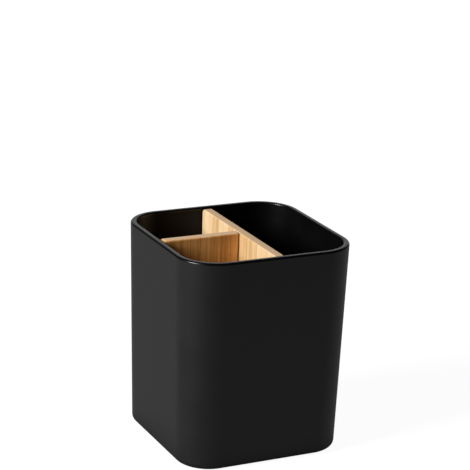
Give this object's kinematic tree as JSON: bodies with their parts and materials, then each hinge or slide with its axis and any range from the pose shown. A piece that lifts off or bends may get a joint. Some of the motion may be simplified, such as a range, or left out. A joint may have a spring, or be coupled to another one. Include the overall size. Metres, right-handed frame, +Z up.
{
  "type": "toothbrush holder",
  "caption": "Square tumbler with rounded corners, tapering a little to its base, with a lift-out T-shaped bamboo divider that parts it into compartments for brushes and a tube.",
  "frame": {"origin": "middle of the footprint, on the surface that the feet stand on", "axes": "+Z up out of the mouth, -Y to the front, +X to the right: the side with the undivided compartment"},
  "size_m": [0.09, 0.09, 0.1063],
  "materials": {
    "cup_plastic": "moulded black plastic, matte soft-touch outside, polished gloss on the rim and inside",
    "bamboo": "laminated bamboo board, sanded, thin clear lacquer, upright grain",
    "foot_rubber": "dense matte black rubber"
  },
  "bodies": {
    "cup_on_feet": {"cup": "cup_plastic", "foot_front_left": "foot_rubber", "foot_front_right": "foot_rubber", "foot_rear_right": "foot_rubber", "foot_rear_left": "foot_rubber"},
    "divider": {"long_panel": "bamboo", "short_panel": "bamboo"}
  },
  "joints": [
    {"name": "divider_lift", "type": "slide", "parent": "cup_on_feet", "child": "divider", "axis": [0, 0, 1], "range_m": [0, 0.11]}
  ]
}
